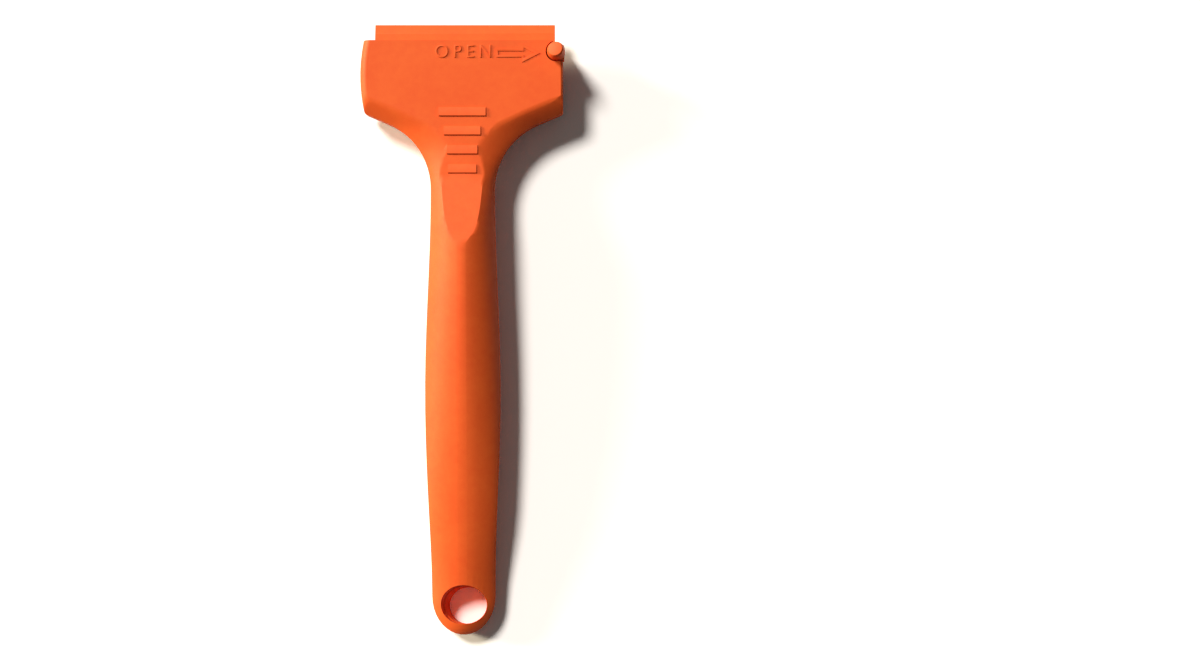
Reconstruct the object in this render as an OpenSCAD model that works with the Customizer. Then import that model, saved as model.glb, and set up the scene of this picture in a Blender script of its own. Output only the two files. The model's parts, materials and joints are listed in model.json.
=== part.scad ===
// Hand scraper for a plastic razor blade: a moulded handle whose flat head grips
// the blade between its front jaw and a hinged door, kept shut by a sliding latch.
// Lengths are millimetres. X runs across the head, Y runs up the handle towards the
// blade's edge, Z rises from the table through the front face. The origin lies on
// the table under the middle of the tool.

/* [Blade] */
// Width of the blade along its edge
blade_w = 38.1; // [34:0.1:44]
// Height of the blade from one edge to the other
blade_h = 18.2; // [17:0.1:22]
// Thickness of the blade
blade_t = 1.1; // [0.9:0.05:1.4]
// Length of blade that stands out of the jaws
blade_reach = 3.7; // [3:0.1:4.5]
// Length of the bevel behind each edge
bevel_l = 6.1; // [4:0.1:6.5]
// Length of the steeper bevel at the edge itself
edge_l = 1.9; // [1.2:0.1:2.6]
// Thickness left at each edge
edge_t = 0.15; // [0.1:0.05:0.4]
// Width of the slot in the middle of the blade
slot_w = 2.5; // [1.8:0.1:3.5]
// Length of the slot in the middle of the blade
slot_l = 6.2; // [4:0.1:7]
// Width of the notch in each end of the blade
notch_w = 2.8; // [2:0.1:3.2]
// Depth of the notch in each end of the blade
notch_depth = 4.5; // [3:0.1:6]
// Width of each notch at its flared mouth
notch_mouth_w = 6.2; // [4:0.1:7]
// Depth over which each notch flares
notch_flare_l = 1.9; // [1:0.1:2.5]

/* [Head] */
// Gap between the blade's inner edge and the handle's back shell
blade_back_gap = 0.1; // [0.1:0.05:0.5]
// Plastic between the blade's end and the right side of the head
right_margin = 1.7; // [1.5:0.05:2.4]
// Plastic between the blade's end and the left side of the head, at its corners
left_margin = 2.2; // [2.1:0.05:3]
// How far the left side of the head swells in the middle
left_swell = 0.75; // [0.5:0.05:1.2]
// How far the blade sits to the right of the handle's centre line
blade_shift = 0.4; // [0:0.05:1]
// Thickness of the front jaw
jaw_t = 2.7; // [2.2:0.1:3.6]
// Thickness of the door
door_t = 3.05; // [2.95:0.05:4]
// Height of the head's back above the table
head_lift = 2.4; // [1:0.1:3]
// Rounding of the front edge on the right side of the head
right_round = 0.5; // [0.3:0.05:0.8]
// Rounding of the front edge on the left side of the head
left_round = 1.5; // [1:0.05:1.8]
// Rounding of the plan corners under the head
corner_r = 0.5; // [0.4:0.05:1.2]
// Width of the rounded bevel along the underside of the head
throat_round = 3.2; // [2:0.1:4]
// Depth of that bevel
throat_drop = 2.2; // [1.5:0.1:2.6]

/* [Handle] */
// Length of the whole tool, with its blade
tool_l = 129.6; // [115:0.1:150]
// Radius of the curve between the head and the neck
throat_r = 15; // [12:0.5:17]
// Turn of that curve, in degrees
throat_turn = 67; // [60:1:70]
// Width of the handle at the neck
neck_w = 13.6; // [12.5:0.1:15]
// Width of the handle at the belly
belly_w = 16; // [15:0.1:19]
// Width of the handle where the rounded end begins
tail_w = 13.5; // [12.8:0.1:14.5]
// Length of the rounded end
tail_l = 8.2; // [7.4:0.1:9]
// Height of the handle's crest above the seam, behind the thumb ramp
neck_rise = 6; // [5.6:0.1:6.6]
// Thickness of the handle's end
tail_t = 5.8; // [5.2:0.1:6.4]
// Width of the rounding along each side of the handle's back
back_round = 3; // [2:0.1:4.5]
// Width of that rounding at the handle's end
tail_round = 1.2; // [0.8:0.1:2]
// Wall of the handle's two hollow shells
shell_wall = 1.8; // [1.4:0.1:2.2]
// Width of the hanging hole
hole_w = 10.1; // [9:0.1:10.3]
// Height of the hanging hole
hole_h = 8.15; // [6:0.05:8.6]
// How much the sides of the hanging hole close in towards the back
hole_draft = 0.9; // [0.4:0.05:1.1]
// Step in the hanging hole where the two shells meet
hole_step = 0.15; // [0.1:0.05:0.3]
// Plastic between the hanging hole and the end of the handle
hole_rim = 2.5; // [2:0.1:3.5]

/* [Thumb ramp] */
// Length of the ramp from the flat face up to its tip
ramp_l = 14.2; // [11:0.1:16]
// Plastic between the last grip bar and the foot of the ramp
ramp_gap = 0.5; // [0.3:0.1:1.5]
// Number of grip bars
bar_count = 4; // [2:1:4]
// Pitch of the grip bars
bar_pitch = 4; // [3:0.05:4.2]
// Length of a grip bar across the handle, at the head
bar_l_first = 9.9; // [9:0.1:12]
// Length of a grip bar across the handle, at the ramp
bar_l_last = 6; // [5:0.1:7.5]
// Width of a grip bar
bar_w = 1.9; // [1.2:0.1:2.2]
// Height of a grip bar above the face
bar_rise = 0.3; // [0.2:0.05:0.6]

/* [Arrow] */
// Length of the raised arrow
arrow_l = 9.2; // [7:0.1:10]
// Width of the arrow's head
arrow_head_w = 3.9; // [3:0.1:4.5]
// Length of the arrow's head
arrow_head_l = 3.8; // [2.5:0.1:5]
// Width of the arrow's shaft
arrow_shaft_w = 1.7; // [1.2:0.1:2.2]
// Width of the arrow's raised line
arrow_line = 0.4; // [0.3:0.05:0.5]
// Height of the arrow above the face
arrow_rise = 0.25; // [0.15:0.05:0.4]

/* [Hinge] */
// Radius of the hinge's barrel
barrel_r = 1.6; // [1.45:0.05:1.7]
// Radius of the hinge pin
pin_r = 0.6; // [0.4:0.05:0.8]
// Length of each of the handle's two knuckles
knuckle_l = 3.3; // [2.5:0.1:4]
// Gap between neighbouring knuckles
knuckle_gap = 0.2; // [0.1:0.05:0.4]

/* [Latch] */
// Radius of the knob at its foot
knob_r = 1.9; // [1.8:0.05:2.1]
// Radius of the knob's flat top
knob_top_r = 1.2; // [0.9:0.05:1.5]
// Height of the knob above the face
knob_rise = 3.1; // [2:0.1:4.5]
// Lean of the knob's top towards the upper left, in degrees
knob_lean = 14; // [5:1:20]
// Distance from the top edge of the head to the knob's centre
knob_drop = 2.3; // [2.2:0.05:2.4]
// Travel of the latch
latch_travel = 2.4; // [1.5:0.1:2.6]
// Length of the spring when the latch is shut
spring_l = 6; // [5:0.1:7]
// Outer diameter of the spring
spring_d = 1.4; // [1.2:0.05:1.5]
// Diameter of the spring's wire
wire_d = 0.3; // [0.2:0.02:0.32]
// Number of turns in the spring
spring_turns = 6; // [5:1:7]

/* [Clearances] */
// Gap on each flat side of the clamped blade
seat_gap = 0.025; // [0.01:0.005:0.05]
// Gap round the pegs and the sliding parts
fit_gap = 0.1; // [0.05:0.01:0.15]
// Running gap between the hinge pin and the door, on the radius
run_gap = 0.05; // [0.02:0.01:0.08]
// Gap round the pin and the posts that are pressed in
press_gap = 0.01; // [0.01:0.005:0.02]
// Gap between the pieces that swing past each other
swing_gap = 0.3; // [0.2:0.05:0.35]

/* [Hidden] */

ORANGE = "#f4743a";
BLADE_ORANGE = "#f67a36";
STEEL = "#b9bcc0";

// Overrun of every cut past the face that it opens
over = 0.5;
fine = 64;

// Heights: the jaws' meeting plane is also the seam between the handle's shells
blade_z = head_lift + door_t + seat_gap;
seam_z = blade_z + blade_t + seat_gap;
face_z = seam_z + jaw_t;
door_z = head_lift + door_t;

// Places along the tool
edge_y = tool_l / 2;
top_y = edge_y - blade_reach;
low_y = edge_y - blade_h - blade_back_gap;
head_h = top_y - low_y;
blade_y = edge_y - blade_h / 2;
end_y = -tool_l / 2;
tail_y = end_y + tail_l;

// Sides of the head
blade_right = blade_shift + blade_w / 2;
blade_left = blade_shift - blade_w / 2;
right_x = blade_right + right_margin;
left_x = left_margin - blade_left;

// The throat: a curve and a straight line up to the head's lower corner
neck_half = neck_w / 2;
throat_x = neck_half + throat_r * (1 - cos(throat_turn));
corner_y = low_y - corner_r;
throat_y = corner_y - (right_x - throat_x) / tan(throat_turn);
neck_y = throat_y - throat_r * sin(throat_turn);
belly_y = (neck_y + tail_y) / 2;
tail_lag_share = 0.35;
tail_foot_y = tail_y - tail_lag_share * tail_l;

// The grip bars and the thumb ramp under them
bar_first_y = low_y - bar_w / 4;
bar_last_y = bar_first_y - bar_pitch * (bar_count - 1);
ramp_foot_y = bar_last_y - bar_w / 2 - ramp_gap;
ramp_tip_y = ramp_foot_y - ramp_l;
// How steeply a bar's top falls towards the blade
bar_slope_share = 0.7;
bar_end_share = 0.5;

// Where the handle's crest starts to rise out of the flat face
crest_lead_share = 0.6;
crest_start_y = ramp_foot_y + crest_lead_share * ramp_l;
crest_full_y = ramp_tip_y + ramp_l / 6;

// Where the back drops from the head to the table
back_drop_l = 12;
back_foot_y = neck_y - back_drop_l;

// Stations of the outline
head_steps = 9;
corner_steps = 4;
throat_steps = 12;
ramp_steps = 12;
handle_steps = 13;
end_steps = 9;
end_turn = 85;
// The head's stations crowd towards its lower corners
head_crowding = 1.5;
// Steps from the edge to the flat, and from there to the centre line
round_steps = 8;
flat_steps = 4;
flat_crowding = 1.6;
// How softly the bevel under the head runs out into its face
bevel_power = 1.3;
// Largest share of a rib that its rounded stretch takes
round_share = 0.86;
// Share of the head's height that the ribs' inner ends lag behind its corners
head_lag_share = 0.7;
throat_lag_share = 0.45;
// Straight wall beside the seam
lip = 0.35;

// Values between two others, straight and eased
function mix(a, b, t) = a + (b - a) * t;
function ease(t) = (1 - cos(180 * max(0, min(1, t)))) / 2;
function eased(a, b, y, y_a, y_b) = mix(a, b, ease((y - y_a) / (y_b - y_a)));

// The hollow inside the handle ends well above the hanging hole, and from there on the
// seam falls towards the handle's end
hollow_share = 0.72;
hollow_top_y = neck_y - shell_wall;
hollow_low_y = mix(neck_y, tail_y, hollow_share);
tail_seam_share = 0.58;
function seam(y) = eased(seam_z, tail_seam_share * tail_t, y, hollow_low_y, tail_foot_y);

// Half width of the handle, and the heights of its crest and its back
function half_width(y) = y > belly_y
    ? eased(neck_w, belly_w, y, neck_y, belly_y) / 2
    : eased(belly_w, tail_w, y, belly_y, tail_y) / 2;
function crest(y) = y > crest_full_y
    ? eased(face_z, seam_z + neck_rise, y, crest_start_y, crest_full_y)
    : mix(
        seam_z + neck_rise,
        tail_t,
        pow((crest_full_y - y) / (crest_full_y - tail_foot_y), 2)
    );
function back(y) = eased(head_lift, 0, y, low_y, back_foot_y);
function back_edge(y) = eased(back_round, tail_round, y, belly_y, tail_y);

// The flat face and the thumb ramp that continues it
ramp_rise = crest(ramp_tip_y) - face_z;
function face(y) = face_z + max(0, ramp_foot_y - y) * ramp_rise / ramp_l;

// Stations of the head and of the handle
function head_share(i) = 1 - pow(1 - i / head_steps, head_crowding);
ramp_end_y = ramp_tip_y - ramp_l / 12;
handle_ys = concat(
    [for (i = [1 : ramp_steps]) mix(neck_y, ramp_end_y, i / ramp_steps)],
    [for (i = [1 : handle_steps]) mix(ramp_end_y, tail_y, i / handle_steps)]
);

// Height at which the throat's straight edge meets a side of the head
function corner_foot_y(x) = throat_y + (x - throat_x) / tan(throat_turn);

// Outline of one side of the tool, from the head's top edge to the handle's end
function side_outline(x, swell) = concat(
    [for (i = [0 : head_steps])
        let (t = head_share(i))
        [x + swell * (1 - pow(2 * t - 1, 2)), mix(top_y, low_y, t)]],
    [for (i = [1 : corner_steps])
        let (
            t = i / corner_steps,
            foot_y = corner_foot_y(x),
            turned_x = x - corner_r * sin(throat_turn),
            turned_y = foot_y - corner_r * cos(throat_turn)
        )
        [
            mix(x, mix(x, turned_x, t), t),
            mix(mix(low_y, foot_y, t), mix(foot_y, turned_y, t), t)
        ]],
    [for (i = [0 : throat_steps])
        let (a = throat_turn * (1 - i / throat_steps))
        [neck_half + throat_r * (1 - cos(a)), neck_y + throat_r * sin(a)]],
    [for (y = handle_ys) [half_width(y), y]],
    [for (i = [1 : end_steps])
        let (a = end_turn * i / end_steps)
        [tail_w / 2 * cos(a), tail_y - tail_l * sin(a) / sin(end_turn)]]
);

// Where the rib of each station meets the centre line
lag_y = top_y - (1 - head_lag_share) * head_h;
spread_y = lag_y - (1 - throat_lag_share) * corner_r;
centre_ys = concat(
    [for (i = [0 : head_steps]) mix(top_y, lag_y, head_share(i))],
    [for (i = [1 : corner_steps]) mix(lag_y, spread_y, i / corner_steps)],
    [for (i = [0 : throat_steps])
        mix(spread_y - corner_r, neck_y, pow(i / throat_steps, throat_lag_share + (1 - throat_lag_share) / 2))],
    handle_ys,
    [for (i = [1 : end_steps]) tail_y - tail_lag_share * tail_l * i / end_steps]
);

// Stations, counted from the top edge
corner_first = head_steps + 1;
throat_first = corner_first + corner_steps;

// How far the rounding has changed from the head's to the handle's
function throat_part(i) = ease((i - throat_first) / throat_steps);

// Width of the rounding at a station, along the rib from the outline point p to the
// centre line at y m: the ribs of the throat run askew to its edge
function rib_width(i, edge, p, m) =
    let (
        l = norm([p.x, p.y - m]),
        a = throat_turn * max(0, 1 - (i - throat_first) / throat_steps),
        askew = (p.x * cos(a) + (m - p.y) * sin(a)) / l
    )
    i < throat_first ? edge : mix(throat_round / askew, l, throat_part(i));
function rib_drop(i, edge, full) =
    i < throat_first ? edge : mix(throat_drop, full - lip, throat_part(i));
function rib_shape(i) = i < throat_first ? 1 : throat_part(i);

// How far a rounding has dropped at a share u of its width: shape 0 is the bevel
// under the head and shape 1 is an arc of a circle
arc_share = 0.9;
function arc_dip(v) = 1 - sqrt(1 - pow(arc_share * v, 2));
function dip(u, shape) =
    let (v = 1 - max(0, min(1, u)))
    mix(pow(v, bevel_power), arc_dip(v) / arc_dip(1), shape);

// The share of the width at which the drop has a value, found by halving
function dip_share(value, shape, low = 0, high = 1, turns = 14) =
    let (middle = (low + high) / 2)
    turns == 0 ? middle
    : dip(middle, shape) > value ? dip_share(value, shape, middle, high, turns - 1)
    : dip_share(value, shape, low, middle, turns - 1);

// Distance of a point of the head from the straight edge under it
function edge_gap(q, side_x) =
    (side_x - q.x) * cos(throat_turn) + (q.y - corner_foot_y(side_x)) * sin(throat_turn);

// One rib: points from the outline p to the centre line at y m. full is the height
// at the centre line and limit the height of the face, both counted from the seam.
// A rib of the head also falls away towards the edge under the side at side_x
function rib(p, m, x_sign, round_w, drop, shape, full, limit, way, side_x = 0) =
    let (
        l = norm([p.x, p.y - m]),
        u_flat = limit < full ? dip_share((full - limit) / drop, shape) : 1,
        // Where the rib leaves the bevel under the head
        gap = edge_gap(p, side_x),
        d_low = side_x > 0 ? l * (throat_round - gap) / (edge_gap([0, m], side_x) - gap) : 0,
        d_end = min(max(u_flat * round_w, d_low), round_share * l)
    )
    concat(
        [[x_sign * p.x, p.y, seam(m)]],
        [for (k = [0 : round_steps + flat_steps - 1])
            let (
                d = k <= round_steps
                    ? d_end * (1 - cos(90 * k / round_steps))
                    : mix(d_end, l, pow((k - round_steps) / flat_steps, flat_crowding)),
                q = [mix(p.x, 0, d / l), mix(p.y, m, d / l)],
                h_low = side_x > 0
                    ? full - throat_drop * dip(edge_gap(q, side_x) / throat_round, 0)
                    : full,
                h = min(limit, h_low, full - drop * dip(d / round_w, shape))
            )
            [x_sign * q.x, q.y, seam(m) + way * h]]
    );

// A closed solid through equal rings of points, each mirrored about its middle point.
// Its first end is flat. Its last end is flat too, or else drawn in to a blunt tip
module skin(rings, flip, flat_end) {
    n = len(rings[0]);
    c = (n - 1) / 2;
    last = (len(rings) - 1) * n;
    walls = [
        for (i = [0 : len(rings) - 2], j = [0 : n - 1])
            let (
                a = i * n + j,
                b = i * n + (j + 1) % n
            )
            each [[a, a + n, b + n], [a, b + n, b]]
    ];
    flat_cap = [for (j = [1 : n - 2]) [0, j, j + 1]];
    tip_cap = concat(
        [for (j = [0 : c - 2]) each [[j, j + 1, n - 2 - j], [j, n - 2 - j, n - 1 - j]]],
        [[c - 1, c, c + 1]]
    );
    far_cap = [
        for (f = flat_end ? flat_cap : tip_cap)
            [last + f[2], last + f[1], last + f[0]]
    ];
    faces = concat(walls, flat_cap, far_cap);
    turned = [for (f = faces) flip ? [f[2], f[1], f[0]] : f];
    polyhedron(points = [for (r = rings) each r], faces = turned, convexity = 6);
}

function ring(right_rib, left_rib, middle) = concat(
    right_rib,
    [middle],
    [for (k = [len(left_rib) - 1 : -1 : 0]) left_rib[k]]
);

right_side = side_outline(right_x, 0);
left_side = side_outline(left_x, left_swell);

// The front and the back halves of the tool's outer form
module front_form() {
    skin([
        for (i = [0 : len(centre_ys) - 1])
            let (
                m = centre_ys[i],
                full = crest(m) - seam(m),
                limit = face(m) - seam(m),
                r = right_side[i],
                l = left_side[i],
                shape = rib_shape(i),
                head = i < throat_first ? 1 : 0
            )
            ring(
                rib(r, m, 1, rib_width(i, right_round, r, m), rib_drop(i, right_round, full),
                    shape, full, limit, 1, head * right_x),
                rib(l, m, -1, rib_width(i, left_round, l, m), rib_drop(i, left_round, full),
                    shape, full, limit, 1, head * left_x),
                [0, m, seam(m) + min(full, limit)]
            )
    ], false, false);
}

module back_form() {
    skin([
        for (i = [0 : len(centre_ys) - 1])
            let (
                m = centre_ys[i],
                full = seam(m) - back(m),
                r = right_side[i],
                l = left_side[i],
                part = throat_part(i),
                drop = mix(right_round, full - lip, part),
                round_w = mix(right_round, min(back_edge(m), norm([r.x, r.y - m])), part)
            )
            ring(
                rib(r, m, 1, round_w, drop, 1, full, full, -1),
                rib(l, m, -1, round_w, drop, 1, full, full, -1),
                [0, m, back(m)]
            )
    ], true, false);
}

// The hollow inside the handle
hollow_steps = 10;
module hollow(way) {
    skin([
        for (i = [0 : hollow_steps])
            let (
                y = mix(hollow_top_y, hollow_low_y, i / hollow_steps),
                w = half_width(y) - shell_wall,
                outer = way > 0 ? crest(y) - seam_z : seam_z - back(y),
                full = outer - shell_wall,
                limit = way > 0 ? face(y) - seam_z - shell_wall : full,
                round_w = way > 0 ? w : min(back_edge(y), w)
            )
            ring(
                rib([w, y], y, 1, round_w, full - lip, 1, full, limit, way),
                rib([w, y], y, -1, round_w, full - lip, 1, full, limit, way),
                [0, y, seam_z + way * min(full, limit)]
            )
    ], way < 0, true);
}

// The hanging hole, through both shells: an oval that closes in towards the back, by
// the draft at the table and by inset all the way. Its lower wall stands upright
hole_y = end_y + hole_rim + hole_h / 2;
hole_points = 48;
module hanging_hole(inset) {
    skin([
        for (z = [-over, 2 * tail_t])
            let (
                drawn_in = hole_draft * (1 - z / tail_t),
                narrower = inset + drawn_in
            )
            [for (k = [0 : hole_points])
                let (a = 360 * k / (hole_points + 1))
                [
                    (hole_w / 2 - narrower) * cos(a),
                    hole_y - drawn_in + (hole_h / 2 - narrower) * sin(a),
                    z
                ]]
    ], false, true);
}

// Posts of the front shell that plug into sockets of the back shell
post_r = 1.3;
post_depth = 2.6;
socket_wall = 0.9;
socket_spare = 0.4;
post_shares = [0.12, 0.5, 0.88];
post_ys = [for (s = post_shares) mix(hollow_top_y, hollow_low_y, s)];

// Place of the hinge
hinge_inset = 0.55;
hinge_margin = 0.7;
hinge_x = -(left_x + left_swell - barrel_r - hinge_inset);
hinge_z = head_lift + barrel_r;
hinge_low_y = low_y + hinge_margin;
hinge_top_y = top_y - hinge_margin;
door_knuckle_low_y = hinge_low_y + knuckle_l + knuckle_gap;
door_knuckle_top_y = hinge_top_y - knuckle_l - knuckle_gap;

module barrel(y_low, y_top) {
    translate([hinge_x, y_top, hinge_z])
        rotate([90, 0, 0])
            cylinder(h = y_top - y_low, r = barrel_r, $fn = fine);
}

module pin_bore(y_low, y_top, gap) {
    translate([hinge_x, y_top, hinge_z])
        rotate([90, 0, 0])
            cylinder(h = y_top - y_low, r = pin_r + gap, $fn = fine);
}

// One knuckle of the handle, with the web that hangs it under the front jaw
module fixed_knuckle(y_low, y_top) {
    web_right = blade_left - swing_gap;
    barrel(y_low, y_top);
    translate([hinge_x - barrel_r, y_low, hinge_z])
        cube([web_right - hinge_x + barrel_r, y_top - y_low, seam_z - hinge_z + lip]);
}

// Place of the knob, and the notch that it stands in
knob_inset = 1.4;
knob_x = right_x - knob_inset;
knob_y = top_y - knob_drop;
notch_r = knob_r + swing_gap;
knob_foot_z = seam_z + swing_gap;

module knob_notch(z, h) {
    translate([knob_x, knob_y, z]) {
        cylinder(h = h, r = notch_r, $fn = fine);
        translate([0, -notch_r, 0])
            cube([right_x - knob_x + over, notch_r + knob_drop + over, h]);
        translate([-notch_r / 3, 0, 0])
            cube([notch_r, knob_drop + over, h]);
    }
}

// A grip bar: highest along its lower side, with square ends
module grip_bar(l) {
    root = jaw_t / 2;
    low_rise = bar_rise;
    high_rise = bar_rise * bar_slope_share;
    translate([-l / 2, 0, 0])
        rotate([90, 0, 90])
            linear_extrude(l)
                polygon([
                    [-bar_w / 2, -root],
                    [bar_w / 2, -root],
                    [bar_w / 2, high_rise / 2],
                    [bar_w / 2 - high_rise, high_rise],
                    [low_rise * bar_end_share - bar_w / 2, low_rise],
                    [-bar_w / 2, low_rise * bar_end_share]
                ]);
}

module grip_bars() {
    for (i = [0 : bar_count - 1]) {
        // The bars shorten quickly under the head and slowly beside the ramp
        t = i / (bar_count - 1);
        l = mix(bar_l_first, bar_l_last, 1 - pow(1 - t, 2));
        translate([0, bar_first_y - i * bar_pitch, face_z])
            grip_bar(l);
    }
}

// A block arrow that points to the latch
module arrow_plate(inset) {
    head = arrow_head_w / 2;
    shaft = arrow_shaft_w / 2;
    neck = arrow_l - arrow_head_l;
    lean = inset * arrow_head_l / head;
    polygon([
        [inset, inset - shaft],
        [neck + inset, inset - shaft],
        [neck + inset, 2 * inset - head],
        [arrow_l - inset - lean, 0],
        [neck + inset, head - 2 * inset],
        [neck + inset, shaft - inset],
        [inset, shaft - inset]
    ]);
}

arrow_gap = 1.2;
arrow_drop_share = 0.2;
module arrow() {
    translate([
        knob_x - notch_r - arrow_gap - arrow_l,
        knob_y - arrow_drop_share * knob_drop,
        face_z - arrow_rise
    ])
        linear_extrude(2 * arrow_rise)
            difference() {
                arrow_plate(0);
                arrow_plate(arrow_line);
            }
}

// The front shell: the handle's front half, in one with the front jaw
module handle_front() {
    color(ORANGE)
    difference() {
        union() {
            difference() {
                front_form();
                hollow(1);
                hanging_hole(0);
                knob_notch(seam_z - over, jaw_t + 2 * over);
            }
            grip_bars();
            arrow();
            fixed_knuckle(hinge_low_y, hinge_low_y + knuckle_l);
            fixed_knuckle(hinge_top_y - knuckle_l, hinge_top_y);
            for (y = post_ys)
                translate([0, y, seam_z - post_depth])
                    cylinder(
                        h = post_depth + min(crest(y), face(y)) - seam_z - shell_wall / 2,
                        r = post_r,
                        $fn = fine
                    );
        }
        pin_bore(hinge_low_y + pin_cover, hinge_top_y + over, press_gap);
    }
}

// The back shell, whose top wall closes the handle behind the door
module handle_back() {
    socket_r = post_r + press_gap;
    socket_deep = post_depth + socket_spare;
    color(ORANGE)
    difference() {
        union() {
            difference() {
                back_form();
                translate([-left_x - left_swell - over, low_y, -over])
                    cube([
                        left_x + left_swell + right_x + 2 * over,
                        head_h + 2 * over,
                        seam_z + 2 * over
                    ]);
                hollow(-1);
                hanging_hole(hole_step);
            }
            for (y = post_ys)
                translate([0, y, back(y) + shell_wall / 2])
                    cylinder(
                        h = seam_z - back(y) - shell_wall / 2,
                        r = post_r + socket_wall,
                        $fn = fine
                    );
        }
        for (y = post_ys)
            translate([0, y, seam_z - socket_deep])
                cylinder(h = socket_deep + over, r = socket_r, $fn = fine);
    }
}

// The hinge pin, pressed into the handle's knuckles
pin_cover = 0.7;
module hinge_pin() {
    low = hinge_low_y + pin_cover + press_gap;
    color(STEEL)
    translate([hinge_x, hinge_top_y, hinge_z])
        rotate([90, 0, 0])
            cylinder(h = hinge_top_y - low, r = pin_r, $fn = fine);
}

// The blade, bevelled in two slopes to an edge on both long sides
edge_share = 0.62;
module blade() {
    half = blade_h / 2;
    flat = half - bevel_l;
    steep = half - edge_l;
    steep_t = edge_share * blade_t;
    color(BLADE_ORANGE)
    translate([blade_shift, blade_y, blade_z])
    difference() {
        translate([-blade_w / 2, 0, 0])
            rotate([90, 0, 90])
                linear_extrude(blade_w)
                    polygon([
                        [-half, 0],
                        [half, 0],
                        [half, edge_t],
                        [steep, steep_t],
                        [flat, blade_t],
                        [-flat, blade_t],
                        [-steep, steep_t],
                        [-half, edge_t]
                    ]);
        translate([-slot_w / 2, -slot_l / 2, -over])
            cube([slot_w, slot_l, blade_t + 2 * over]);
        for (s = [0, 180])
            rotate([0, 0, s])
                translate([blade_w / 2, 0, -over])
                    linear_extrude(blade_t + 2 * over)
                        polygon([
                            [over, notch_mouth_w / 2],
                            [0, notch_mouth_w / 2],
                            [-notch_flare_l, notch_w / 2],
                            [-notch_depth, notch_w / 2],
                            [-notch_depth, -notch_w / 2],
                            [-notch_flare_l, -notch_w / 2],
                            [0, -notch_mouth_w / 2],
                            [over, -notch_mouth_w / 2]
                        ]);
    }
}

// The latch's channel in the back of the door
cover_t = 0.7;
bar_thick = 0.8;
tee_l = 1.2;
stem_t = 1.65;
channel_floor = 0.7;
channel_z = head_lift + cover_t;
channel_h = door_t - cover_t - channel_floor;
slide_z = channel_z + fit_gap / 2;
slide_h = channel_h - fit_gap;
tee_step = 0.5;
bar_low_y = knob_y - spring_d;
tee_low_y = bar_low_y - tee_step;
channel_low_y = bar_low_y - fit_gap;
channel_mid_y = bar_low_y + bar_thick + fit_gap;
spring_y = channel_mid_y - fit_gap / 2 + spring_d / 2;
channel_top_y = spring_y + spring_d / 2 + fit_gap;
stem_left = blade_right + swing_gap;
door_notch_left = stem_left - fit_gap;
spring_back = 7.6;
spring_end_x = stem_left - spring_back;
tee_right = spring_end_x - spring_l;
tee_left = tee_right - tee_l;
// The step in the channel that the latch's foot stops against when it is pulled open
tee_stop_x = tee_right + latch_travel + fit_gap / 2;
stem_half = 1.5;
stem_low_y = knob_y - stem_half;

// Plan of the cover plate and of its seat, the seat larger by the gap all round
cover_lap = 0.55;
module cover_plan(gap) {
    x_low = tee_left - fit_gap - cover_lap;
    y_low = tee_low_y - fit_gap - cover_lap;
    translate([x_low - gap, y_low - gap])
        square([
            door_notch_left - fit_gap - x_low + 2 * gap,
            channel_top_y + cover_lap - y_low + 2 * gap
        ]);
}

// Two pegs of the cover plate
peg_r = 0.45;
peg_h = 0.9;
module at_cover_pegs() {
    for (x = [spring_end_x + 2 * peg_r, door_notch_left - 3 * peg_r])
        translate([x, spring_y, 0])
            children();
}

// The door: the rear jaw, which carries the blade on pegs and swings on the hinge
module clamp_door() {
    plate_left = hinge_x + barrel_r + swing_gap;
    plate_low_y = low_y + knuckle_gap;
    plate_top_y = top_y - fit_gap;
    door_edge = 0.6;
    color(ORANGE)
    difference() {
        union() {
            // The plate, with its back edges bevelled along the top and the foot
            translate([plate_left, 0, head_lift])
                rotate([90, 0, 90])
                    linear_extrude(right_x - plate_left)
                        polygon([
                            [plate_low_y, door_edge],
                            [plate_low_y + door_edge, 0],
                            [plate_top_y - door_edge / 2, 0],
                            [plate_top_y, door_edge / 2],
                            [plate_top_y, door_t],
                            [plate_low_y, door_t]
                        ]);
            barrel(door_knuckle_low_y, door_knuckle_top_y);
            translate([hinge_x, door_knuckle_low_y, head_lift])
                cube([
                    plate_left - hinge_x + door_edge,
                    door_knuckle_top_y - door_knuckle_low_y,
                    door_t - seat_gap
                ]);
            blade_pegs();
        }
        pin_bore(door_knuckle_low_y - over, door_knuckle_top_y + over, run_gap);
        // Corner left open for the latch's stem
        translate([door_notch_left, stem_low_y - swing_gap, head_lift - over])
            cube([right_x, top_y, door_t + 2 * over]);
        // Channel of the latch: wide for its foot, then for the spring beside its bar,
        // then for the bar alone
        translate([tee_left - fit_gap, tee_low_y - fit_gap, channel_z - over])
            cube([
                tee_stop_x - tee_left + fit_gap,
                channel_top_y - tee_low_y + fit_gap,
                channel_h + over
            ]);
        translate([tee_stop_x - over, channel_low_y, channel_z - over])
            cube([
                spring_end_x - tee_stop_x + over,
                channel_top_y - channel_low_y,
                channel_h + over
            ]);
        translate([spring_end_x - over, channel_low_y, channel_z - over])
            cube([right_x, channel_mid_y - channel_low_y, channel_h + over]);
        translate([0, 0, head_lift - over])
            linear_extrude(cover_t + over)
                cover_plan(fit_gap);
        at_cover_pegs()
            translate([0, 0, channel_z - over])
                cylinder(h = over + peg_h + fit_gap, r = peg_r + press_gap, $fn = fine);
    }
}

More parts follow.
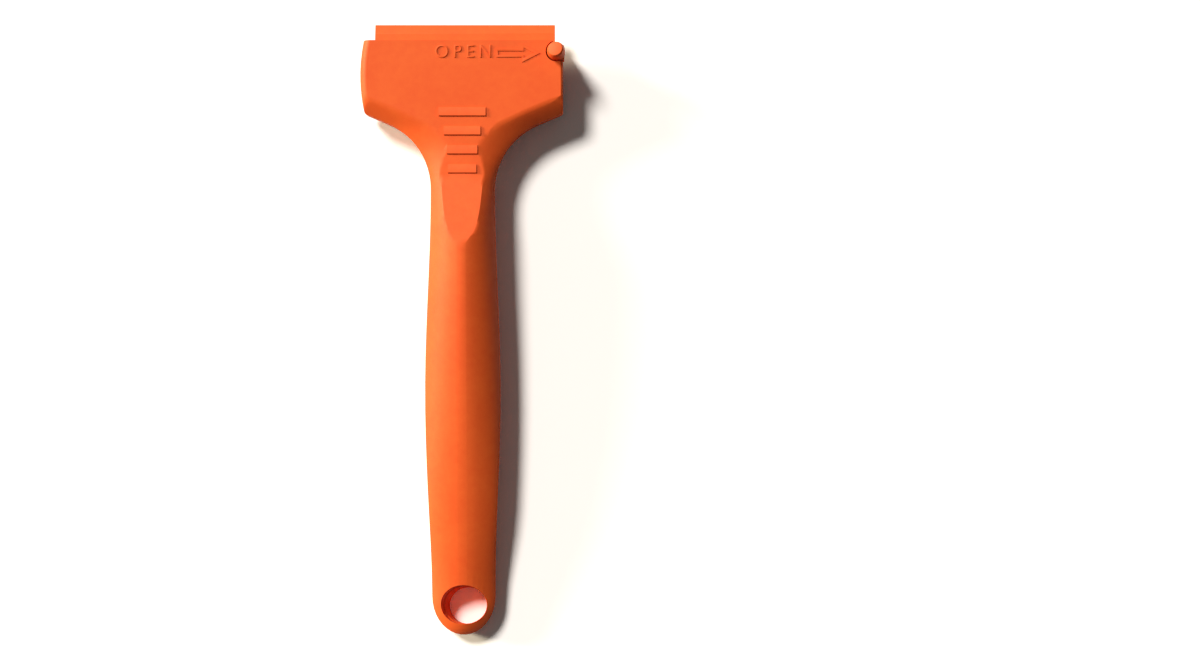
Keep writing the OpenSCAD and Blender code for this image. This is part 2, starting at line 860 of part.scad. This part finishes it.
// Pegs that fit the blade's slot and its two notches
peg_share = 0.85;
module blade_pegs() {
    h = blade_t * peg_share + seat_gap + lip;
    centre_w = slot_w - 2 * fit_gap;
    centre_l = slot_l - 2 * fit_gap;
    end_w = notch_w - 2 * fit_gap;
    end_l = notch_depth - notch_flare_l - 2 * fit_gap;
    translate([blade_shift, blade_y, door_z - lip]) {
        translate([-centre_w / 2, -centre_l / 2, 0])
            cube([centre_w, centre_l, h]);
        for (s = [0, 180])
            rotate([0, 0, s])
                translate([blade_w / 2 - notch_depth + fit_gap, -end_w / 2, 0])
                    cube([end_l, end_w, h]);
    }
}

// The latch: knob, stem and the bar that slides in the door
module latch_slide() {
    knob_h = face_z + knob_rise - knob_foot_z;
    crown = (knob_r - knob_top_r) / 2;
    color(ORANGE)
    union() {
        difference() {
            translate([knob_x, knob_y, knob_foot_z])
                rotate_extrude($fn = fine)
                    polygon([
                        [0, 0],
                        [knob_r, 0],
                        [knob_r, knob_h - knob_rise + crown],
                        [knob_top_r + crown, knob_h - crown],
                        [knob_top_r, knob_h],
                        [0, knob_h]
                    ]);
            // The top leans towards the thumb's side of the head
            translate([knob_x, knob_y, knob_foot_z + knob_h - knob_top_r * tan(knob_lean)])
                rotate(a = knob_lean, v = [-1, -1, 0])
                    translate([-2 * knob_r, -2 * knob_r, 0])
                        cube([4 * knob_r, 4 * knob_r, knob_r]);
        }
        translate([stem_left, stem_low_y, slide_z])
            cube([stem_t, 2 * stem_half, knob_foot_z - slide_z + lip]);
        translate([tee_left, bar_low_y, slide_z])
            cube([stem_left - tee_left + stem_t / 2, bar_thick, slide_h]);
        translate([tee_left, tee_low_y, slide_z])
            cube([tee_l, channel_top_y - fit_gap - tee_low_y, slide_h]);
    }
}

// The return spring: one helix of round wire between the latch's foot and the door
wire_sides = 6;
turn_rings = 8;
module latch_spring() {
    coil_r = (spring_d - wire_d) / 2;
    first = tee_right + wire_d / 2;
    last = spring_end_x - wire_d / 2;
    count = spring_turns * turn_rings;
    rings = [
        for (i = [0 : count])
            let (
                a = 360 * i / turn_rings,
                x = mix(first, last, i / count)
            )
            [for (k = [0 : wire_sides - 1])
                let (
                    b = 360 * k / wire_sides,
                    r = coil_r + wire_d / 2 * cos(b)
                )
                [
                    x + wire_d / 2 * sin(b),
                    spring_y + r * cos(a),
                    slide_z + slide_h / 2 + r * sin(a)
                ]]
    ];
    last_ring = count * wire_sides;
    color(STEEL)
    polyhedron(
        points = [for (r = rings) each r],
        faces = concat(
            [for (i = [0 : count - 1], k = [0 : wire_sides - 1])
                let (
                    p = i * wire_sides + k,
                    q = i * wire_sides + (k + 1) % wire_sides
                )
                each [[p, q, q + wire_sides], [p, q + wire_sides, p + wire_sides]]],
            [for (k = [1 : wire_sides - 2]) [0, k + 1, k]],
            [for (k = [1 : wire_sides - 2]) [last_ring, last_ring + k, last_ring + k + 1]]
        ),
        convexity = 10
    );
}

// The cover plate that keeps the latch and its spring in the door
module latch_cover() {
    color(ORANGE)
    union() {
        translate([0, 0, head_lift])
            linear_extrude(cover_t)
                cover_plan(0);
        at_cover_pegs()
            translate([0, 0, head_lift + cover_t / 2])
                cylinder(h = cover_t / 2 + peg_h, r = peg_r, $fn = fine);
    }
}

handle_front();
handle_back();
hinge_pin();
clamp_door();
blade();
latch_slide();
latch_spring();
latch_cover();
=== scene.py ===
"""Razor blade scraper: the looks of a moulded hand scraper, laid flat and seen from above."""

import json
from collections import Counter
from math import cos, radians, sin

import bpy
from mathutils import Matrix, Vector


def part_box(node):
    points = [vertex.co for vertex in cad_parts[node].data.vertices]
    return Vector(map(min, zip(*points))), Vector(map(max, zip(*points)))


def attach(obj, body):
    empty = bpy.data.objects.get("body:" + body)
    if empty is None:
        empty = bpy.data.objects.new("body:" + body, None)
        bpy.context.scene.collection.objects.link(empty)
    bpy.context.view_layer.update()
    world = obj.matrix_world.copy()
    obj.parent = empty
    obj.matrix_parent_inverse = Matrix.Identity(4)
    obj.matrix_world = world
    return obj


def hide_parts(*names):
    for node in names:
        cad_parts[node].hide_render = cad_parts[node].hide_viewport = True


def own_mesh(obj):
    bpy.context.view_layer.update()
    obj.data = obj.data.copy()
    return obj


bl_info = {
    "name": "Razor Blade Scraper",
    "version": (1, 0, 0),
    "blender": (4, 5, 0),
    "location": "View3D > Sidebar > Scraper",
    "description": "Models the scraper's finished pieces, its materials and a pale studio",
    "category": "Object",
}

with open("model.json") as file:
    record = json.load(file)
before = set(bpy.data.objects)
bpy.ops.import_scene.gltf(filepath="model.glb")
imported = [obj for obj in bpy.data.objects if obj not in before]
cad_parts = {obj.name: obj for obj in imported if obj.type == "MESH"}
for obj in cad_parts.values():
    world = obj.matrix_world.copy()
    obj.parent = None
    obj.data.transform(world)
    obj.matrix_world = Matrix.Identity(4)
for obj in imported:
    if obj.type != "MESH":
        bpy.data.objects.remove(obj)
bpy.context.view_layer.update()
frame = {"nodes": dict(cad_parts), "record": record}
MM = 0.001

# The head's flat face, and how near a point has to be to count as on it
FACE_Z = 9.3 * MM
ON_FACE = 0.01 * MM

# The hanging hole, measured from the handle's end: its middle and half its size with room to
# spare, the middle of its back opening, and the height under which its wall leans
HOLE_Y = 6.6 * MM
HOLE_REACH_X = 5.3 * MM
HOLE_REACH_Y = 4.3 * MM
HOLE_BACK_Y = 5.675 * MM
HOLE_WALL_TOP = 5.8 * MM
# How far its back opening lies to the right, and by what share it is taller
HOLE_LEAN = 0.75 * MM
HOLE_STRETCH = 0.29

# The raised word, from the blade's top edge to its foot, and its left and right ends
WORD_DROP = 7.4 * MM
WORD_LEFT = -5.65 * MM
WORD_RIGHT = 6.05 * MM

# The photo's width, its scale at the seam, and how far its middle lies to the right of the
# handle and below the tool's middle
PHOTO_WIDTH = 1200
PX = MM / 4.724
MIDDLE_RIGHT = 137 * PX
MIDDLE_BELOW = 4.5 * PX


# Materials


def linear(code):
    """Turns an sRGB hex colour into the linear colour that a shader takes."""
    values = [int(code[i : i + 2], 16) / 255 for i in (1, 3, 5)]
    parts = [v / 12.92 if v <= 0.04045 else ((v + 0.055) / 1.055) ** 2.4 for v in values]
    return (*parts, 1.0)


def add_node(material, kind, links=None, values=None, **settings):
    """Adds one shader node with its settings, its constants and the sockets that feed it."""
    tree = material.node_tree
    node = tree.nodes.new(kind)
    for name, value in settings.items():
        setattr(node, name, value)
    for name, value in (values or {}).items():
        node.inputs[name].default_value = value
    for name, source in (links or {}).items():
        tree.links.new(source, node.inputs[name])
    return node


def new_material(name):
    """Starts a material with nothing in it but its output."""
    material = bpy.data.materials.new(name)
    material.use_nodes = True
    material.node_tree.nodes.clear()
    return material


def moulded_plastic(name, light_code, deep_code, roughness):
    """Moulded ABS from a fine spark-eroded tool: satin, with a soft grain and faint flow marks."""
    material = new_material(name)
    place = add_node(material, "ShaderNodeTexCoord").outputs["Object"]
    # Flow marks of the melt, about 9 mm across, shift the colour a little
    flow = add_node(
        material,
        "ShaderNodeTexNoise",
        links={"Vector": place},
        values={"Scale": 1 / (9 * MM), "Detail": 2.0, "Roughness": 0.5},
    )
    # The tool's grain is finer than 0.2 mm, and is drawn at 0.35 mm so that it shows
    grain = add_node(
        material,
        "ShaderNodeTexNoise",
        links={"Vector": place},
        values={"Scale": 1 / (0.35 * MM), "Detail": 1.5, "Roughness": 0.6},
    )
    speckle = add_node(
        material,
        "ShaderNodeTexNoise",
        links={"Vector": place},
        values={"Scale": 1 / (1.6 * MM), "Detail": 3.0, "Roughness": 0.65},
    )
    tone = add_node(
        material,
        "ShaderNodeMath",
        links={0: flow.outputs["Fac"], 1: speckle.outputs["Fac"]},
        operation="ADD",
    )
    spread = add_node(
        material,
        "ShaderNodeMapRange",
        links={"Value": tone.outputs["Value"]},
        values={"From Min": 0.7, "From Max": 1.3, "To Min": 0.0, "To Max": 1.0},
    )
    colour = add_node(
        material,
        "ShaderNodeMix",
        links={"Factor": spread.outputs["Result"]},
        data_type="RGBA",
    )
    colour.inputs["A"].default_value = linear(deep_code)
    colour.inputs["B"].default_value = linear(light_code)
    gloss = add_node(
        material,
        "ShaderNodeMapRange",
        links={"Value": grain.outputs["Fac"]},
        values={
            "From Min": 0.3,
            "From Max": 0.7,
            "To Min": roughness - 0.05,
            "To Max": roughness + 0.05,
        },
    )
    bump = add_node(
        material,
        "ShaderNodeBump",
        links={"Height": grain.outputs["Fac"]},
        values={"Strength": 0.25, "Distance": 0.03 * MM},
    )
    shader = add_node(
        material,
        "ShaderNodeBsdfPrincipled",
        links={
            "Base Color": colour.outputs["Result"],
            "Roughness": gloss.outputs["Result"],
            "Normal": bump.outputs["Normal"],
        },
        values={"IOR": 1.53, "Specular IOR Level": 0.3},
    )
    add_node(material, "ShaderNodeOutputMaterial", links={"Surface": shader.outputs["BSDF"]})
    return material


def drawn_steel(name, code):
    """Bright drawn steel wire: a metal with fine lines along its length."""
    material = new_material(name)
    place = add_node(material, "ShaderNodeTexCoord").outputs["Object"]
    # Drawing lines 0.08 mm apart round the wire and 4 mm long
    stretch = add_node(
        material,
        "ShaderNodeMapping",
        links={"Vector": place},
        values={"Scale": (1 / (0.08 * MM), 1 / (4 * MM), 1 / (0.08 * MM))},
    )
    lines = add_node(
        material,
        "ShaderNodeTexNoise",
        links={"Vector": stretch.outputs["Vector"]},
        values={"Scale": 1.0, "Detail": 2.0},
    )
    gloss = add_node(
        material,
        "ShaderNodeMapRange",
        links={"Value": lines.outputs["Fac"]},
        values={"From Min": 0.3, "From Max": 0.7, "To Min": 0.22, "To Max": 0.38},
    )
    shader = add_node(
        material,
        "ShaderNodeBsdfPrincipled",
        links={"Roughness": gloss.outputs["Result"]},
        values={"Base Color": linear(code), "Metallic": 1.0},
    )
    add_node(material, "ShaderNodeOutputMaterial", links={"Surface": shader.outputs["BSDF"]})
    return material


def studio_paper(name, code):
    """Matt studio paper that the camera sees as white, with the shadow left on it."""
    material = new_material(name)
    paper = add_node(
        material,
        "ShaderNodeBsdfPrincipled",
        values={"Base Color": linear(code), "Roughness": 0.9},
    )
    # As the camera sees it, the lit paper reaches white and its shadow keeps a warm tone
    white = add_node(
        material,
        "ShaderNodeBsdfDiffuse",
        values={"Color": (1.45, 1.36, 1.26, 1.0)},
    )
    ray = add_node(material, "ShaderNodeLightPath")
    mirrored = add_node(
        material,
        "ShaderNodeMath",
        links={0: ray.outputs["Is Glossy Ray"], 1: ray.outputs["Is Transmission Ray"]},
        operation="MAXIMUM",
    )
    seen = add_node(
        material,
        "ShaderNodeMath",
        links={0: ray.outputs["Is Camera Ray"], 1: mirrored.outputs["Value"]},
        operation="MAXIMUM",
    )
    surface = add_node(
        material,
        "ShaderNodeMixShader",
        links={0: seen.outputs["Value"], 1: paper.outputs["BSDF"], 2: white.outputs["BSDF"]},
    )
    add_node(material, "ShaderNodeOutputMaterial", links={"Surface": surface.outputs["Shader"]})
    return material


def dress(piece, material):
    """Gives a piece its one finish."""
    piece.data.materials.clear()
    piece.data.materials.append(material)


# Modelling helpers


def alone(piece):
    """Selects one piece and nothing else."""
    bpy.ops.object.select_all(action="DESELECT")
    piece.select_set(True)
    bpy.context.view_layer.objects.active = piece


def start_from(node, name):
    """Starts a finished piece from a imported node's faces, joined up and with whole flats."""
    piece = bpy.data.objects.new(name, frame["nodes"][node].data.copy())
    piece.data.name = name
    bpy.context.scene.collection.objects.link(piece)
    alone(piece)
    if "custom_normal" in piece.data.attributes:
        bpy.ops.mesh.customdata_custom_splitnormals_clear()
    bpy.ops.object.mode_set(mode="EDIT")
    bpy.ops.mesh.select_all(action="SELECT")
    bpy.ops.mesh.remove_doubles(threshold=0.001 * MM)
    bpy.ops.mesh.dissolve_limited(angle_limit=radians(0.2))
    bpy.ops.mesh.tris_convert_to_quads(face_threshold=radians(12), shape_threshold=radians(60))
    bpy.ops.object.mode_set(mode="OBJECT")
    return piece


def soften(piece, width, sharpness=30):
    """Rounds a piece's sharp edges, as wide as its shortest edges let it, and smooths the rest."""
    alone(piece)
    bpy.ops.object.mode_set(mode="EDIT")
    bpy.ops.mesh.select_all(action="DESELECT")
    bpy.ops.mesh.select_mode(type="EDGE")
    bpy.ops.mesh.edges_select_sharp(sharpness=radians(sharpness))
    bpy.ops.mesh.bevel(offset=width, segments=2, profile=0.5, clamp_overlap=True)
    bpy.ops.mesh.select_all(action="SELECT")
    bpy.ops.mesh.remove_doubles(threshold=0.002 * MM)
    bpy.ops.object.mode_set(mode="OBJECT")
    drop_slivers(piece)
    bpy.ops.object.shade_smooth_by_angle(angle=radians(35))
    keep_flats(piece)


def drop_slivers(piece):
    """Deletes the few thin faces that the rounding leaves hanging on a closed piece."""
    users = Counter(key for face in piece.data.polygons for key in face.edge_keys)
    bpy.ops.object.mode_set(mode="EDIT")
    bpy.ops.mesh.select_mode(type="FACE")
    bpy.ops.mesh.select_all(action="DESELECT")
    bpy.ops.object.mode_set(mode="OBJECT")
    for face in piece.data.polygons:
        face.select = any(users[key] == 1 for key in face.edge_keys)
    bpy.ops.object.mode_set(mode="EDIT")
    bpy.ops.mesh.delete(type="FACE")
    bpy.ops.object.mode_set(mode="OBJECT")


def keep_flats(piece):
    """Keeps the shading of a piece's large flats apart from the rounded faces beside them."""
    large = (4 * MM) ** 2
    group = piece.vertex_groups.new(name="flats")
    for face in piece.data.polygons:
        on_face = face.normal.z > 0.9999 and abs(face.center.z - FACE_Z) < ON_FACE
        if on_face or face.area > large:
            group.add(list(face.vertices), 1.0, "REPLACE")
    bpy.ops.object.modifier_add(type="WEIGHTED_NORMAL")
    weighting = piece.modifiers[-1]
    weighting.keep_sharp = True
    weighting.vertex_group = group.name
    bpy.ops.object.modifier_apply(modifier=weighting.name)


def settle(piece, node):
    """Makes the piece ride where its node rides, and stand for it."""
    body = next(b for b, nodes in frame["record"]["behaviour"]["bodies"].items() if node in nodes)
    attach(piece, body)
    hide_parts(node)
    return piece


# Sizes and colours that a user would change


class ScraperColours(bpy.types.PropertyGroup):
    handle: bpy.props.StringProperty(
        name="Handle",
        description="Colour of the handle's plastic as an sRGB hex value",
        default="#f76320",
    )
    handle_deep: bpy.props.StringProperty(
        name="Handle, deeper",
        description="The handle's colour in the darker of its flow marks",
        default="#f25a1b",
    )
    blade: bpy.props.StringProperty(
        name="Blade",
        description="Colour of the blade's plastic as an sRGB hex value",
        default="#f06419",
    )
    blade_deep: bpy.props.StringProperty(
        name="Blade, deeper",
        description="The blade's colour in the darker of its flow marks",
        default="#ea5c16",
    )
    steel: bpy.props.StringProperty(
        name="Steel",
        description="Colour of the hinge pin and the spring as an sRGB hex value",
        default="#c4c6c8",
    )
    floor: bpy.props.StringProperty(
        name="Floor",
        description="Colour of the paper floor as the part reflects it, as an sRGB hex value",
        default="#98928c",
    )


class ScraperSizes(bpy.types.PropertyGroup):
    edge: bpy.props.FloatProperty(
        name="Shell edges",
        description="Widest rounding of the shells' edges, which their short edges hold back",
        default=0.2 * MM,
        unit="LENGTH",
        precision=5,
    )
    brow: bpy.props.FloatProperty(
        name="Brow",
        description="Rounding where the face turns into the slopes above the neck",
        default=0.55 * MM,
        unit="LENGTH",
        precision=5,
    )
    word_rise: bpy.props.FloatProperty(
        name="Word height",
        description="How far the raised word stands out of the face",
        default=0.1 * MM,
        unit="LENGTH",
        precision=5,
    )


class ScraperStudio(bpy.types.PropertyGroup):
    distance: bpy.props.FloatProperty(
        name="Camera distance",
        description="Distance from the camera to the seam of the handle",
        default=0.42,
        unit="LENGTH",
    )
    key: bpy.props.FloatProperty(
        name="Key light",
        description="Strength of the soft lamp at the upper left",
        default=2.9,
    )
    side: bpy.props.FloatProperty(
        name="Side light",
        description="Strength of the low, warm lamp at the left",
        default=4.2,
    )
    sky: bpy.props.FloatProperty(
        name="Sky",
        description="Strength of the even light from all round",
        default=0.07,
    )


# Pieces


class OBJECT_OT_scraper_shells(bpy.types.Operator):
    """Finishes the handle's two shells, with the word on the face"""

    bl_idname = "object.scraper_shells"
    bl_label = "Handle shells"

    def execute(self, context):
        sizes = context.scene.scraper_sizes
        plastic = bpy.data.materials["handle_orange"]
        front = start_from("handle_front", "front_shell")
        lean_hole(front)
        lower_arrow(front, sizes.word_rise * 1.5)
        round_brow(front, sizes.brow)
        soften(front, sizes.edge)
        word = raised_word(sizes)
        bpy.ops.object.select_all(action="DESELECT")
        word.select_set(True)
        front.select_set(True)
        context.view_layer.objects.active = front
        bpy.ops.object.join()
        dress(front, plastic)
        settle(front, "handle_front")
        back = start_from("handle_back", "back_shell")
        lean_hole(back)
        soften(back, sizes.edge)
        dress(back, plastic)
        settle(back, "handle_back")
        return {"FINISHED"}


def lean_hole(shell):
    """Leans the hanging hole's wall, so that it closes in from the left as in the photo."""
    end_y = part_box("handle_back")[0].y
    for point in shell.data.vertices:
        place = point.co
        across = place.x / HOLE_REACH_X
        along = (place.y - end_y - HOLE_Y) / HOLE_REACH_Y
        if across**2 + along**2 < 1 and place.z < HOLE_WALL_TOP:
            share = 1 - place.z / HOLE_WALL_TOP
            place.x += HOLE_LEAN * share
            place.y += HOLE_STRETCH * share * (place.y - end_y - HOLE_BACK_Y)


def lower_arrow(front, rise):
    """Lowers the arrow's raised line until it is as faint as the word beside it."""
    for point in front.data.vertices:
        place = point.co
        if 6 * MM < place.x < 17.2 * MM and place.y > 55 * MM and place.z > FACE_Z + 0.05 * MM:
            place.z = FACE_Z + rise


def round_brow(front, width):
    """Rounds the long edges where the face turns into the two slopes above the neck."""
    alone(front)
    bpy.ops.object.mode_set(mode="EDIT")
    bpy.ops.mesh.select_mode(type="EDGE")
    bpy.ops.mesh.select_all(action="DESELECT")
    bpy.ops.object.mode_set(mode="OBJECT")
    points = front.data.vertices
    for edge in front.data.edges:
        ends = [points[i].co for i in edge.vertices]
        edge.select = all(
            abs(end.z - FACE_Z) < ON_FACE
            and 5.5 * MM < abs(end.x) < 20.3 * MM
            and 42 * MM < end.y < 49.4 * MM
            for end in ends
        )
    bpy.ops.object.mode_set(mode="EDIT")
    bpy.ops.mesh.bevel(offset=width, segments=4, profile=0.5, clamp_overlap=False)
    bpy.ops.object.mode_set(mode="OBJECT")


def raised_word(sizes):
    """The raised word on the face, spread to the width that it has in the photo."""
    foot_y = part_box("blade")[1].y - WORD_DROP
    bpy.ops.object.select_all(action="DESELECT")
    bpy.ops.object.text_add(location=(0, 0, 0))
    word = bpy.context.object
    word.name = "open_word"
    word.data.body = "OPEN"
    word.data.size = 3.9 * MM
    word.data.space_character = 1.45
    word.data.extrude = sizes.word_rise
    word.data.bevel_depth = sizes.word_rise * 0.6
    word.data.bevel_resolution = 1
    word.data.offset = -0.06 * MM
    bpy.ops.object.convert(target="MESH")
    word = bpy.context.object
    across = [v.co.x for v in word.data.vertices]
    word.scale = ((WORD_RIGHT - WORD_LEFT) / (max(across) - min(across)), 1, 1)
    word.location = (WORD_LEFT - min(across) * word.scale.x, foot_y, FACE_Z)
    bpy.ops.object.transform_apply(location=True, rotation=True, scale=True)
    bpy.ops.object.mode_set(mode="EDIT")
    bpy.ops.mesh.select_all(action="SELECT")
    bpy.ops.mesh.remove_doubles(threshold=0.005 * MM)
    bpy.ops.object.mode_set(mode="OBJECT")
    bpy.ops.object.shade_smooth_by_angle(angle=radians(40))
    return word


class OBJECT_OT_scraper_clamp(bpy.types.Operator):
    """Finishes the hinged door, its pin, the latch's cover plate, the latch and its spring"""

    bl_idname = "object.scraper_clamp"
    bl_label = "Clamp and latch"

    def execute(self, context):
        plastic = bpy.data.materials["handle_orange"]
        steel = bpy.data.materials["drawn_steel"]
        for node, name, width in (
            ("clamp_door", "rear_jaw", 0.14),
            ("latch_cover", "cover_plate", 0.1),
            ("latch_slide", "latch_knob", 0.16),
        ):
            piece = start_from(node, name)
            soften(piece, width * MM)
            dress(piece, plastic)
            settle(piece, node)
        pin = start_from("hinge_pin", "pin_of_hinge")
        soften(pin, 0.1 * MM)
        dress(pin, steel)
        settle(pin, "hinge_pin")
        spring = start_from("latch_spring", "coil_spring")
        bpy.ops.object.shade_smooth_by_angle(angle=radians(70))
        dress(spring, steel)
        settle(spring, "latch_spring")
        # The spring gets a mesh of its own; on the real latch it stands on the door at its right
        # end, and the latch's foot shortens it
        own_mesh(spring)
        return {"FINISHED"}


class OBJECT_OT_scraper_blade(bpy.types.Operator):
    """Finishes the plastic blade"""

    bl_idname = "object.scraper_blade"
    bl_label = "Blade"

    def execute(self, context):
        blade = start_from("blade", "plastic_blade")
        soften(blade, 0.05 * MM, sharpness=6)
        dress(blade, bpy.data.materials["blade_orange"])
        settle(blade, "blade")
        return {"FINISHED"}


# Stage: floor, camera and lamps


def sun_lamp(name, heading, rise, strength, colour):
    """A soft lamp far off, seen from the part towards heading and rise."""
    data = bpy.data.lights.new(name, "SUN")
    data.angle = radians(15)
    data.energy = strength
    data.color = colour
    lamp = bpy.data.objects.new(name, data)
    bpy.context.collection.objects.link(lamp)
    away = heading.normalized() * cos(rise) + Vector((0, 0, sin(rise)))
    lamp.location = away * 0.75
    lamp.rotation_euler = away.to_track_quat("Z", "Y").to_euler()


class OBJECT_OT_scraper_stage(bpy.types.Operator):
    """Sets up the pale floor, the camera above it and the soft light from the left"""

    bl_idname = "object.scraper_stage"
    bl_label = "Studio"

    def execute(self, context):
        studio = context.scene.scraper_studio
        colours = context.scene.scraper_colours
        bpy.ops.object.select_all(action="DESELECT")
        bpy.ops.mesh.primitive_plane_add(size=6.0, location=(0, 0, -0.02 * MM))
        floor = context.object
        floor.name = "floor"
        floor.data.materials.append(studio_paper("studio_paper", colours.floor))

        # The camera looks straight down on the photo's middle
        seam_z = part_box("handle_back")[1].z
        camera_data = bpy.data.cameras.new("camera")
        camera_data.sensor_width = 36.0
        camera_data.lens = camera_data.sensor_width * studio.distance / (PHOTO_WIDTH * PX)
        camera_data.clip_start = 0.01
        camera = bpy.data.objects.new("camera", camera_data)
        context.collection.objects.link(camera)
        camera.location = (MIDDLE_RIGHT, -MIDDLE_BELOW, seam_z + studio.distance)
        context.scene.camera = camera

        sun_lamp("key", Vector((-0.67, 0.74, 0)), radians(45), studio.key, (1, 1, 1))
        sun_lamp("side", Vector((-0.95, 0.31, 0)), radians(14), studio.side, (1, 0.95, 0.75))

        world = bpy.data.worlds.new("studio_sky")
        context.scene.world = world
        world.use_nodes = True
        sky = world.node_tree.nodes["Background"]
        sky.inputs["Color"].default_value = (1, 1, 1, 1)
        sky.inputs["Strength"].default_value = studio.sky
        context.scene.view_settings.view_transform = "Standard"
        return {"FINISHED"}


class OBJECT_OT_scraper_finishes(bpy.types.Operator):
    """Makes the moulded plastics and the steel"""

    bl_idname = "object.scraper_finishes"
    bl_label = "Finishes"

    def execute(self, context):
        colours = context.scene.scraper_colours
        moulded_plastic("handle_orange", colours.handle, colours.handle_deep, 0.6)
        moulded_plastic("blade_orange", colours.blade, colours.blade_deep, 0.6)
        drawn_steel("drawn_steel", colours.steel)
        return {"FINISHED"}


class VIEW3D_PT_scraper(bpy.types.Panel):
    bl_label = "Scraper"
    bl_idname = "VIEW3D_PT_scraper"
    bl_space_type = "VIEW_3D"
    bl_region_type = "UI"
    bl_category = "Scraper"

    def draw(self, context):
        for operator in STEPS:
            self.layout.operator(operator.bl_idname)


GROUPS = (ScraperColours, ScraperSizes, ScraperStudio)
STEPS = (
    OBJECT_OT_scraper_finishes,
    OBJECT_OT_scraper_shells,
    OBJECT_OT_scraper_clamp,
    OBJECT_OT_scraper_blade,
    OBJECT_OT_scraper_stage,
)


def register():
    for kind in (*GROUPS, *STEPS, VIEW3D_PT_scraper):
        bpy.utils.register_class(kind)
    bpy.types.Scene.scraper_colours = bpy.props.PointerProperty(type=ScraperColours)
    bpy.types.Scene.scraper_sizes = bpy.props.PointerProperty(type=ScraperSizes)
    bpy.types.Scene.scraper_studio = bpy.props.PointerProperty(type=ScraperStudio)


def unregister():
    del bpy.types.Scene.scraper_colours
    del bpy.types.Scene.scraper_sizes
    del bpy.types.Scene.scraper_studio
    for kind in reversed((*GROUPS, *STEPS, VIEW3D_PT_scraper)):
        bpy.utils.unregister_class(kind)


def main():
    register()
    bpy.ops.object.scraper_finishes()
    bpy.ops.object.scraper_shells()
    bpy.ops.object.scraper_clamp()
    bpy.ops.object.scraper_blade()
    bpy.ops.object.scraper_stage()


if __name__ == "__main__":
    main()
